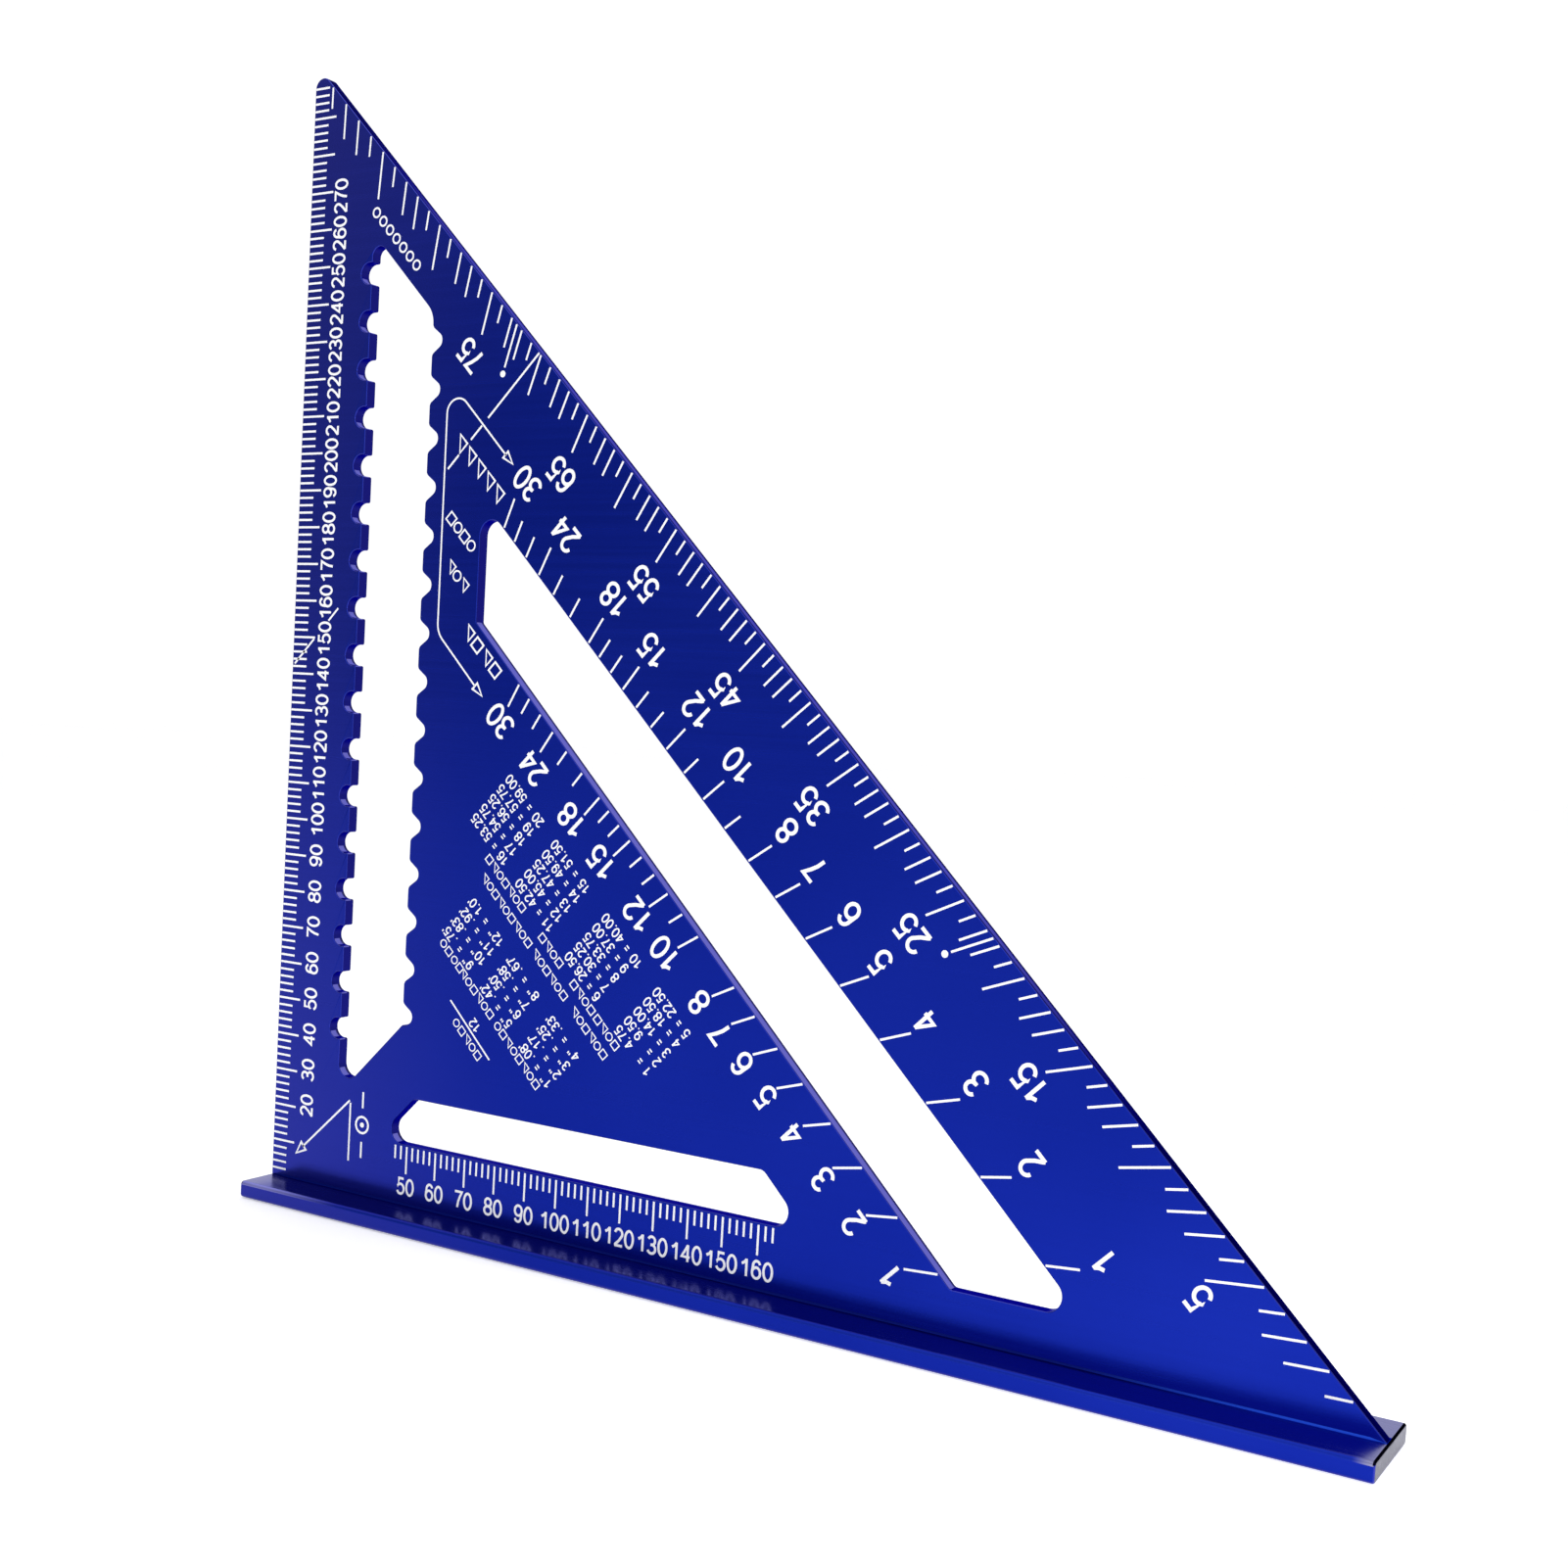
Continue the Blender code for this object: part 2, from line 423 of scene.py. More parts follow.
def ribbon(points, width, closed=False):
    """The patches of a line of constant width: one for each stretch, with mitred joints."""
    points = [Vector(point) for point in points]
    count = len(points)
    sides = []
    for index, point in enumerate(points):
        ahead = points[(index + 1) % count] - point
        behind = point - points[index - 1]
        if not closed and index == 0:
            behind = ahead
        if not closed and index == count - 1:
            ahead = behind
        across = (ahead.normalized() + behind.normalized()).orthogonal().normalized()
        reach = min(MITRE_LIMIT, 1 / max(0.1, abs(across.dot(ahead.orthogonal().normalized()))))
        sides.append((point + across * reach * width / 2, point - across * reach * width / 2))
    stretches = range(count if closed else count - 1)
    return [
        (sides[i][0], sides[i][1], sides[(i + 1) % count][1], sides[(i + 1) % count][0])
        for i in stretches
    ]


def disc(x, z, radius):
    return [oval(x, z, radius, radius)]


def ring(x, z, radius, width):
    return ribbon(oval(x, z, radius, radius), width, closed=True)


def line(start, end, width):
    return ribbon([start, end], width)


def print_on_blade(name, marks):
    """One piece of print from several marks, each a list of patches that may overlap."""
    shape = bmesh.new()
    for patches in marks:
        add_mark(shape, patches)
    mesh = bpy.data.meshes.new(name)
    shape.to_mesh(mesh)
    shape.free()
    finish_piece(bpy.data.objects.new(name, mesh), [PRINT])


def add_mark(shape, patches):
    """Adds the union of the patches as one thin closed solid on the blade's front face."""
    points = [Vector(point) for patch in patches for point in patch]
    faces = []
    first = 0
    for patch in patches:
        faces.append(list(range(first, first + len(patch))))
        first += len(patch)
    corners, _, triangles, _, _, owners = delaunay_2d_cdt(points, [], faces, 0, PRINT_MERGE_DISTANCE)
    inside = [triangle for triangle, owner in zip(triangles, owners) if owner]
    used = sorted({corner for triangle in inside for corner in triangle})
    outer = {}
    inner = {}
    for corner in used:
        x = PIVOT.x + corners[corner].x * MM
        z = PIVOT.z + corners[corner].y * MM
        outer[corner] = shape.verts.new((x, PIVOT.y - PRINT_HEIGHT * MM, z))
        inner[corner] = shape.verts.new((x, PIVOT.y + PRINT_DEPTH * MM, z))
    edges = {}
    for a, b, c in inside:
        shape.faces.new((outer[a], outer[b], outer[c]))
        shape.faces.new((inner[c], inner[b], inner[a]))
        for start, end in ((a, b), (b, c), (c, a)):
            edges[(start, end)] = (end, start) in edges or edges.get((start, end), False)
    for start, end in edges:
        if (end, start) not in edges:
            shape.faces.new((outer[end], outer[start], inner[start], inner[end]))


# ---------------------------------------------------------------- numerals

SIX = [
    (arc(0.53, 0.7, 0.43, 0.3, 22, 180) + [(0.02, 0.32)], False),
    (oval(0.5, 0.31, 0.48, 0.31), True),
]

# Each character's strokes as (points, closed), in a box that is 1 wide and 1 high between the
# strokes' centre lines.
STROKES = {
    "0": [(oval(0.5, 0.5, 0.5, 0.5), True)],
    "1": [([(0.68, 0), (0.68, 1)], False), ([(0.68, 0.97), (0.45, 0.8), (0.12, 0.7)], False)],
    "2": [
        (arc(0.5, 0.72, 0.47, 0.28, 168, -30) + [(0.55, 0.3), (0.14, 0.08), (0.04, 0)], False),
        ([(0, 0), (1, 0)], False),
    ],
    "3": [
        (arc(0.47, 0.755, 0.43, 0.245, 158, -90) + [(0.34, 0.51)], False),
        (arc(0.47, 0.265, 0.5, 0.265, 90, -158), False),
    ],
    "4": [([(0.74, 0), (0.74, 1)], False), ([(0.74, 0.98), (0, 0.28), (1, 0.28)], False)],
    "5": [([(0.92, 1), (0.22, 1), (0.1, 0.5)] + arc(0.48, 0.32, 0.5, 0.32, 140, -158), False)],
    "6": SIX,
    "7": [([(0, 1), (1, 1), (0.7, 0.66), (0.5, 0.35), (0.4, 0)], False)],
    "8": [(oval(0.5, 0.76, 0.42, 0.24), True), (oval(0.5, 0.26, 0.5, 0.26), True)],
    "9": [([(1 - x, 1 - z) for x, z in points], closed) for points, closed in SIX],
    ".": [([(0, -0.08), (0, 0.06)], False)],
    "'": [([(0, 0.78), (0, 1.05)], False)],
    '"': [([(0, 0.78), (0, 1.05)], False), ([(0.45, 0.78), (0.45, 1.05)], False)],
    "=": [([(0, 0.28), (0.75, 0.28)], False), ([(0, 0.62), (0.75, 0.62)], False)],
}
ADVANCE = {".": 0.3, "'": 0.3, '"': 0.5, "=": 0.6}      # the digits advance by their pitch


def character_patches(character):
    """A character's patches at a height of 1, standing on the base line."""
    margin = DIGIT_STROKE / 2
    width = DIGIT_WIDTH - DIGIT_STROKE
    height = 1 - DIGIT_STROKE
    patches = []
    for points, closed in STROKES[character]:
        placed = [(margin + x * width, margin + z * height) for x, z in points]
        patches += ribbon(placed, DIGIT_STROKE, closed)
    return patches


def text_width(text):
    return sum(ADVANCE.get(character, DIGIT_PITCH) for character in text) - DIGIT_PITCH + DIGIT_WIDTH


def number(text, x, z, turn, height, align="centre"):
    """A printed number as a list of marks. (x, z) is a point on its base line, turn is in degrees."""
    share = {"left": 0, "centre": 0.5, "right": 1}[align]
    cosine = math.cos(math.radians(turn)) * height
    sine = math.sin(math.radians(turn)) * height
    start = -text_width(text) * share
    marks = []
    for character in text:
        marks.append([
            [
                (x + (start + px) * cosine - pz * sine, z + (start + px) * sine + pz * cosine)
                for px, pz in patch
            ]
            for patch in character_patches(character)
        ])
        start += ADVANCE.get(character, DIGIT_PITCH)
    return marks


# ---------------------------------------------------------------- the scales

SLOPE_TURN = 135             # the slope's numbers read up the slope, with their heads to the pivot
RAY_CENTRE = 1.4             # the rays fan out from a point this far in from both edges
EDGE_GAP = 0.3               # the marks along the blade's edges begin this far in

# The millimetre scales. Their marks are every 2 mm, and longer at every ten.
UPRIGHT_TICKS = range(2, 300, 2)
UPRIGHT_TICK_END = 5.3
UPRIGHT_LONG_TICK_END = 8.1
UPRIGHT_VALUES = range(20, 280, 10)
UPRIGHT_NUMBER_X = 12.3
UPRIGHT_NUMBER_LEAN = 0.0045     # the column of numbers leans to the edge by this much a millimetre
UPRIGHT_NUMBER_Z = 21.1
UPRIGHT_NUMBER_PITCH = 0.99      # the numbers' spacing, against that of the marks
BASE_TICKS = range(46, 166, 2)
BASE_TICK_HEAD = 15.7
BASE_TICK_FOOT = 12.1
BASE_LONG_TICK_FOOT = 8.4
BASE_VALUES = range(50, 170, 10)
BASE_NUMBER_Z = 2.55
BASE_SHIFT = 0.7                 # the whole scale is printed this far to the left

# The degree scale: how far its marks reach, by their last digit, and its numbers.
DEGREE_DEPTHS = {0: 9.7, 5: 9.7, 2: 7.0, 3: 7.0, 7: 7.0, 8: 7.0, 1: 4.3, 4: 4.3, 6: 4.3, 9: 4.3}
DEGREE_VALUES = range(5, 80, 10)
DEGREE_NUMBER_DEPTH = 9.9
DEGREE_NUMBER_SINK = 0.09        # the numbers lie deeper by this much a degree
DEGREE_NUMBER_DEEPEST = 12.3
DEGREE_NUMBER_SPREAD = 1.018     # the numbers' spacing, against that of the rays
DEGREE_NUMBER_SHIFT = 1.1        # all of them are printed this far towards the toe
DOTTED_DEGREES = (22.5, 72.5)
DOTTED_DEPTH = 10.2
DOT_DEPTH = 11.7
DOT_RADIUS = 0.85

# The rafter scales: rises in 12 along the slot's upper edge, and in 17 along its lower edge.
COMMON_RISES = (*range(1, 19), *range(20, 32, 2))
HIP_RISES = tuple(rise for rise in COMMON_RISES if rise != 9)
LABELLED_RISES = (1, 2, 3, 4, 5, 6, 7, 8, 10, 12, 15, 18, 24, 30)
COMMON_RUN = 12
COMMON_TICK_START = 37.2
COMMON_TICK_END = 32.0
COMMON_LABELLED_TICK_END = 30.0
COMMON_FIRST_TICK_END = 31.2
COMMON_FIRST_RISES = (1, 2)
COMMON_NUMBER_DEPTH = 21.2
COMMON_RAISED_DEPTH = 22.1
COMMON_RAISED_RISES = (1, 2, 4, 5)
HIP_RUN = 17
HIP_TICK_START = 60.2
HIP_TICK_END = 64.5
HIP_LABELLED_TICK_END = 66.5
HIP_NUMBER_DEPTH = 67.0
HIP_LOW_DEPTH = 67.5
HIP_LOW_RISES = (24, 30)

# How far some numerals are printed from their rays, towards the tip.
DEGREE_SHIFT = {15: 1.4, 75: 0.7}
COMMON_SHIFT = {1: -0.9, 2: 0.3, 3: 0.4, 4: -0.4, 5: 0.6, 6: -0.6, 12: 0.7, 18: 0.9, 24: -0.7}
HIP_SHIFT = {3: -0.8, 8: 1.0, 10: 1.0, 12: 0.4, 15: 1.0, 18: 1.4, 24: -1.4, 30: -0.8}


def on_slope(u, w):
    """The (x, z) of a point u along the slope and w below it."""
    total = LEG - w * math.sqrt(2)
    difference = u * math.sqrt(2)
    return ((total - difference) / 2, (total + difference) / 2)


def on_ray(degrees, w):
    """Where the ray at that angle from the corner is w below the slope."""
    angle = math.radians(degrees)
    reach = (LEG - 2 * RAY_CENTRE - w * math.sqrt(2)) / (math.cos(angle) + math.sin(angle))
    return (RAY_CENTRE + reach * math.cos(angle), RAY_CENTRE + reach * math.sin(angle))


def ray_u(degrees, w):
    """How far along the slope that ray is, where it is w below the slope."""
    x, z = on_ray(degrees, w)
    return (z - x) / math.sqrt(2)


def slope_number(text, u, w, height=BIG_NUMERAL, align="centre"):
    x, z = on_slope(u, w)
    return number(text, x, z, SLOPE_TURN, height, align)


def make_upright_scale():
    """Millimetres up the blade's upright edge."""
    ticks = []
    for z in UPRIGHT_TICKS:
        end = UPRIGHT_LONG_TICK_END if z % 10 == 0 else UPRIGHT_TICK_END
        ticks.append(line((EDGE_GAP, z), (end, z), FINE_LINE))
    print_on_blade("upright_scale_ticks", ticks)
    numbers = []
    for value in UPRIGHT_VALUES:
        x = UPRIGHT_NUMBER_X + SMALL_NUMERAL / 2 - UPRIGHT_NUMBER_LEAN * value
        z = UPRIGHT_NUMBER_Z + UPRIGHT_NUMBER_PITCH * (value - UPRIGHT_VALUES[0])
        numbers += number(str(value), x, z, 90, SMALL_NUMERAL)
    print_on_blade("upright_scale_numbers", numbers)


def make_base_scale():
    """Millimetres along the lower edge of the slot above the fence."""
    ticks = []
    for value in BASE_TICKS:
        x = value - BASE_SHIFT
        foot = BASE_LONG_TICK_FOOT if value % 10 == 0 else BASE_TICK_FOOT
        ticks.append(line((x, BASE_TICK_HEAD), (x, foot), FINE_LINE))
    print_on_blade("base_scale_ticks", ticks)
    numbers = []
    for value in BASE_VALUES:
        numbers += number(str(value), value - BASE_SHIFT, BASE_NUMBER_Z, 0, SMALL_NUMERAL)
    print_on_blade("base_scale_numbers", numbers)


def make_degree_scale():
    """Degrees along the slope, on rays from the pivot."""
    ticks = [
        line(on_ray(degrees, EDGE_GAP), on_ray(degrees, DEGREE_DEPTHS[degrees % 10]), LINE)
        for degrees in range(1, 90)
    ]
    print_on_blade("degree_ticks", ticks)
    numbers = []
    for degrees in DEGREE_VALUES:
        sunk = DEGREE_NUMBER_DEPTH + DEGREE_NUMBER_SINK * (degrees - DEGREE_VALUES[0])
        w = min(DEGREE_NUMBER_DEEPEST, sunk)
        middle = DEGREE_NUMBER_SPREAD * ray_u(degrees, w + BIG_NUMERAL / 3)
        u = middle - DEGREE_NUMBER_SHIFT + DEGREE_SHIFT.get(degrees, 0)
        numbers += slope_number(str(degrees), u, w)
    print_on_blade("degree_numbers", numbers)
    dotted = []
    for degrees in DOTTED_DEGREES:
        dotted.append(line(on_ray(degrees, EDGE_GAP), on_ray(degrees, DOTTED_DEPTH), LINE))
        dotted.append(disc(*on_ray(degrees, DOT_DEPTH), DOT_RADIUS))
    print_on_blade("half_degree_marks", dotted)


def make_common_scale():
    """The common rafter's rise in 12, along the slot's upper edge."""
    ticks = []
    numbers = []
    for rise in COMMON_RISES:
        degrees = math.degrees(math.atan2(rise, COMMON_RUN))
        end = COMMON_TICK_END
        if rise in LABELLED_RISES:
            end = COMMON_FIRST_TICK_END if rise in COMMON_FIRST_RISES else COMMON_LABELLED_TICK_END
            u = ray_u(degrees, COMMON_LABELLED_TICK_END) + COMMON_SHIFT.get(rise, 0)
            w = COMMON_RAISED_DEPTH if rise in COMMON_RAISED_RISES else COMMON_NUMBER_DEPTH
            numbers += slope_number(str(rise), u, w)
        ticks.append(line(on_ray(degrees, COMMON_TICK_START), on_ray(degrees, end), LINE))
    print_on_blade("common_rafter_ticks", ticks)
    print_on_blade("common_rafter_numbers", numbers)


def make_hip_valley_scale():
    """The hip and valley rafters' rise in 17, along the slot's lower edge."""
    ticks = []
    numbers = []
    for rise in HIP_RISES:
        degrees = math.degrees(math.atan2(rise, HIP_RUN))
        end = HIP_TICK_END
        if rise in LABELLED_RISES:
            end = HIP_LABELLED_TICK_END
            u = ray_u(degrees, HIP_NUMBER_DEPTH) + HIP_SHIFT.get(rise, 0)
            w = HIP_LOW_DEPTH if rise in HIP_LOW_RISES else HIP_NUMBER_DEPTH
            numbers += slope_number(str(rise), u, w)
        ticks.append(line(on_ray(degrees, HIP_TICK_START), on_ray(degrees, end), LINE))
    print_on_blade("hip_valley_ticks", ticks)
    print_on_blade("hip_valley_numbers", numbers)


# ---------------------------------------------------------------- lines and arrows

# The guide line joins the two rafter scales, round the notched slot.
GUIDE_X = 51.9
GUIDE_UPPER = 270.0          # x + z of the stretch that leads to the common scale
GUIDE_UPPER_RADIUS = 3.7
GUIDE_UPPER_END_X = 72.2
GUIDE_UPPER_TIP_X = 74.8
GUIDE_LOWER = 204.3          # x + z of the stretch that leads to the hip and valley scale
GUIDE_LOWER_RADIUS = 6.0
GUIDE_LOWER_END_X = 65.3
GUIDE_LOWER_TIP_X = 68.2
GUIDE_HEAD = (4.0, 1.1, 0.5)     # an arrowhead's length, half width and line

# The broken line that runs up to the slope at 45 degrees.
DASHES_RISE = 141.8          # z - x along it
DASHES = ((0.9, 7.8), (12.9, 16.3), (53.0, 56.5), (60.3, 63.8), (65.7, 81.3))

# The arrow that points at the pivot, and the upright line beside it.
POINTER_STEM = ((28.2, 25.0), (11.4, 9.5))
POINTER_TIP = (8.6, 6.9)
POINTER_DIRECTION = (-2.6, -2.4)
POINTER_HEAD = (4.2, 1.3, 0.6)
POINTER_UPRIGHT = ((28.5, 24.4), (28.5, 8.5))


def arrow_head(tip, direction, length, half_width, width):
    """A hollow arrowhead as a closed ribbon."""
    tip = Vector(tip)
    back = tip - Vector(direction).normalized() * length
    across = Vector(direction).normalized().orthogonal() * half_width
    inset = Vector(direction).normalized() * width
    return ribbon([tip - inset, back + across, back - across], width, closed=True)


def make_guide_line():
    """The line that joins the two rafter scales round the notched slot, with an arrow at each end."""
    path = rounded([
        (GUIDE_UPPER_END_X, GUIDE_UPPER - GUIDE_UPPER_END_X, 0),
        (GUIDE_X, GUIDE_UPPER - GUIDE_X, GUIDE_UPPER_RADIUS),
        (GUIDE_X, GUIDE_LOWER - GUIDE_X, GUIDE_LOWER_RADIUS),
        (GUIDE_LOWER_END_X, GUIDE_LOWER - GUIDE_LOWER_END_X, 0),
    ], closed=False)
    marks = [ribbon(path, THIN_LINE)]
    for x, total in ((GUIDE_UPPER_TIP_X, GUIDE_UPPER), (GUIDE_LOWER_TIP_X, GUIDE_LOWER)):
        marks.append(arrow_head((x, total - x), (1, -1), *GUIDE_HEAD))
    print_on_blade("rafter_guide_line", marks)


def make_slant_dashes():
    dashes = [line((a, a + DASHES_RISE), (b, b + DASHES_RISE), LINE) for a, b in DASHES]
    print_on_blade("slant_dashes", dashes)


def make_pivot_arrow():
    print_on_blade("pivot_arrow", [
        line(*POINTER_STEM, LINE),
        arrow_head(POINTER_TIP, POINTER_DIRECTION, *POINTER_HEAD),
        line(*POINTER_UPRIGHT, LINE),
    ])


# ---------------------------------------------------------------- plain symbols for the words

def frame_of(u, w):
    """Turns points given along and above a line on the slope's layout into (x, z)."""
    def place(along, above):
        return on_slope(u + along, w + above)
    return place


def triangle_symbol(place, size, width):
    return ribbon([place(0, 0), place(size, 0), place(0, size)], width, closed=True)


def square_symbol(place, size, width):
    return ribbon([place(0, 0), place(size, 0), place(size, size), place(0, size)], width, closed=True)


def ring_symbol(place, size, width):
    x, z = place(size / 2, size / 2)
    return ring(x, z, size / 2, width)


def symbol_row(u, w, size, pitch, count, width, symbols):
    """A row of small plain shapes, taking turns."""
    return [symbols[i % len(symbols)](frame_of(u + i * pitch, w), size, width) for i in range(count)]


# The rows of shapes that name the scales. A row is u, w, size, pitch, count, line and shapes.
SYMBOL_ROWS = {
    "degree_rings": [(146.6, 11.2, 2.4, 3.5, 7, 0.5, [ring_symbol])],
    "common_symbols": [(82.0, 31.4, 3.4, 4.6, 5, 0.5, [triangle_symbol])],
    "hip_valley_symbols": [(49.0, 62.0, 3.0, 4.4, 4, 0.5, [square_symbol, triangle_symbol])],
    "top_cut_symbols": [
        (78.6, 46.7, 2.6, 3.3, 4, 0.42, [ring_symbol, square_symbol]),
        (72.8, 55.2, 2.6, 3.3, 3, 0.42, [triangle_symbol, ring_symbol]),
    ],
}

# A ring round a dot, with a line above and below, names the pivot.
PIVOT_SYMBOL_X = 33.0
PIVOT_SYMBOL_Z = 19.0
PIVOT_SYMBOL_RADIUS = 2.2
PIVOT_SYMBOL_DOT = 0.7
PIVOT_SYMBOL_LINE = 0.6
PIVOT_SYMBOL_FEET = (10.0, 23.6)
PIVOT_SYMBOL_LENGTH = 4.4

# The two tables: each column's u, the top row's w, and how far each thing in a row is from the
# column's number.
FEET_COLUMNS = (-38.4, -19.2, 0.0)
FEET_ROWS = 4
FEET_TOP = 118.9
FEET_PITCH = 3.87
FEET_INCH_MARK = 0.5
FEET_EQUALS = 3.6
FEET_VALUE = 6.8
RISE_COLUMNS = (-54.3, -31.1, -7.3, 14.6)
RISE_ROWS = 5
RISE_TOP = 92.2
RISE_PITCH = 3.8
RISE_EQUALS = 1.6
RISE_VALUE = 12.8
RISE_STEPS = 4               # the angles are printed to a quarter of a degree
RISES_ROUNDED_UP = (9, 10, 15)

# The rows of shapes that head the tables: w, and each word's (u, number of shapes).
HEADINGS = (
    (122.5, ((-38.0, 8), (-15.5, 6), (-0.3, 2), (5.2, 2))),
    (100.5, ((-45.0, 6), (-26.5, 6), (-9.5, 9))),
    (96.1, ((-45.5, 4), (-34.5, 4), (-19.5, 4), (-1.5, 7))),
)
HEADING_SYMBOLS = [square_symbol, ring_symbol, triangle_symbol]
HEADING_SIZE = 1.95
HEADING_PITCH = 2.65
HEADING_LINE = 0.3

# The fraction over the first table: shapes over a line over a 12.
FRACTION_BAR = ((-23.3, 131.5), (-3.7, 131.5))
FRACTION_BAR_LINE = 0.45
FRACTION_TOP = (-21.0, 132.9)
FRACTION_SHAPES = 5
FRACTION_FOOT = (-13.7, 128.0)


def make_scale_symbols():
    """Plain shapes that name the scales and the pivot without words."""
    for name, rows in SYMBOL_ROWS.items():
        print_on_blade(name, [mark for row in rows for mark in symbol_row(*row)])
    marks = [
        ring(PIVOT_SYMBOL_X, PIVOT_SYMBOL_Z, PIVOT_SYMBOL_RADIUS, PIVOT_SYMBOL_LINE),
        disc(PIVOT_SYMBOL_X, PIVOT_SYMBOL_Z, PIVOT_SYMBOL_DOT),
    ]
    for z in PIVOT_SYMBOL_FEET:
        ends = ((PIVOT_SYMBOL_X, z), (PIVOT_SYMBOL_X, z + PIVOT_SYMBOL_LENGTH))
        marks.append(line(*ends, PIVOT_SYMBOL_LINE))
    print_on_blade("pivot_symbol", marks)


def table_entry(text, u, w, align):
    return slope_number(text, u, w, TABLE_NUMERAL, align)


def make_tables():
    """The two conversion tables in the blade's middle: inches to feet, and rise to degrees."""
    feet = []
    for inches in range(1, 13):
        column, row = divmod(inches - 1, FEET_ROWS)
        u = FEET_COLUMNS[column]
        w = FEET_TOP - FEET_PITCH * row
        value = "1.0'" if inches == 12 else f".{round(100 * inches / 12):02d}'"
        feet += table_entry(str(inches), u, w, "right")
        feet += table_entry('"', u + FEET_INCH_MARK, w, "left")
        feet += table_entry("=", u + FEET_EQUALS, w, "left")
        feet += table_entry(value, u + FEET_VALUE, w, "left")
    print_on_blade("inches_to_feet_table", feet)
    degrees = []
    for rise in range(1, 21):
        column, row = divmod(rise - 1, RISE_ROWS)
        u = RISE_COLUMNS[column]
        w = RISE_TOP - RISE_PITCH * row
        steps = round(RISE_STEPS * math.degrees(math.atan2(rise, COMMON_RUN)))
        steps += rise in RISES_ROUNDED_UP
        degrees += table_entry(str(rise), u, w, "right")
        degrees += table_entry("=", u + RISE_EQUALS, w, "left")
        degrees += table_entry(f"{steps / RISE_STEPS:.2f}", u + RISE_VALUE, w, "right")
    print_on_blade("rise_to_degrees_table", degrees)


def heading_row(u, w, count):
    return symbol_row(u, w, HEADING_SIZE, HEADING_PITCH, count, HEADING_LINE, HEADING_SYMBOLS)


def make_table_headings():
    """Plain shapes for the tables' headings, and the fraction of a foot over the first of them."""
    headings = [heading_row(u, w, count) for w, words in HEADINGS for u, count in words]
    print_on_blade("table_heading_symbols", [mark for row in headings for mark in row])
    start, end = (on_slope(u, w) for u, w in FRACTION_BAR)
    fraction = [line(start, end, FRACTION_BAR_LINE)]
    fraction += heading_row(*FRACTION_TOP, FRACTION_SHAPES)
    fraction += slope_number(str(COMMON_RUN), *FRACTION_FOOT, TABLE_NUMERAL)
    print_on_blade("fraction_of_a_foot", fraction)


# ---------------------------------------------------------------- materials

NOISE_MIDDLE = (0.3, 0.7)    # where nearly all of a noise's values lie
ALONG_GRAIN = (0.02, 1, 1)   # drawn lines run along the bar
SLANT = (0.22, 0.36)         # the veil grows between these shares of a full slant


def new_material(name):
    """A new material, its node tree and its shader."""
    material = bpy.data.materials.new(name)
    material.use_nodes = True
    tree = material.node_tree
    return material, tree, tree.nodes["Principled BSDF"]


def object_place(tree):
    """The point's own x, y and z in metres, as three sockets."""
    parts = tree.nodes.new("ShaderNodeSeparateXYZ")
    tree.links.new(tree.nodes.new("ShaderNodeTexCoord").outputs["Object"], parts.inputs["Vector"])
    return parts.outputs


def math_node(tree, operation, first, second):
    """A sum in the node tree. Each side is a number or a socket."""
    node = tree.nodes.new("ShaderNodeMath")
    node.operation = operation
    for socket, value in zip(node.inputs, (first, second)):
        if isinstance(value, (int, float)):
            socket.default_value = value
        else:
            tree.links.new(value, socket)
    return node.outputs["Value"]


def ramp(tree, value, low, high, low_result, high_result, kind="SMOOTHSTEP"):
    """A rise from one result to another while the value goes from low to high."""
    node = tree.nodes.new("ShaderNodeMapRange")
    node.interpolation_type = kind
    node.inputs["From Min"].default_value = low
    node.inputs["From Max"].default_value = high
    node.inputs["To Min"].default_value = low_result
    node.inputs["To Max"].default_value = high_result
    tree.links.new(value, node.inputs["Value"])
    return node.outputs["Result"]


def noise(tree, scale, size, detail):
    """Noise in the object's own metres, stretched by scale per axis."""
    place = tree.nodes.new("ShaderNodeTexCoord")
    mapping = tree.nodes.new("ShaderNodeMapping")
    mapping.inputs["Scale"].default_value = scale
    tree.links.new(place.outputs["Object"], mapping.inputs["Vector"])
    texture = tree.nodes.new("ShaderNodeTexNoise")
    texture.inputs["Scale"].default_value = size
    texture.inputs["Detail"].default_value = detail
    tree.links.new(mapping.outputs["Vector"], texture.inputs["Vector"])
    return texture.outputs["Fac"]


def remap(tree, value, low, high):
    """The middle of a noise's range turned into low to high."""
    return ramp(tree, value, *NOISE_MIDDLE, low, high, "LINEAR")


def blend_colors(tree, share, first, second):
    """A blend of two colours. The first is three numbers or a socket, the second three numbers."""
    node = tree.nodes.new("ShaderNodeMix")
    node.data_type = "RGBA"
    if isinstance(first, tuple):
        node.inputs["A"].default_value = (*first, 1)
    else:
        tree.links.new(first, node.inputs["A"])
    node.inputs["B"].default_value = (*second, 1)
    tree.links.new(share, node.inputs["Factor"])
    return node.outputs["Result"]


def recolor(material, share, color):
    """Turns a material's colour into another one where share is 1."""
    tree = material.node_tree
    socket = tree.nodes["Principled BSDF"].inputs["Base Color"]
    before = socket.links[0].from_socket
    tree.links.new(blend_colors(tree, share, before, color), socket)


def bump(tree, height, distance, strength, below=None):
    node = tree.nodes.new("ShaderNodeBump")
    node.inputs["Distance"].default_value = distance
    node.inputs["Strength"].default_value = strength
    tree.links.new(height, node.inputs["Height"])
    if below is not None:
        tree.links.new(below, node.inputs["Normal"])
    return node.outputs["Normal"]


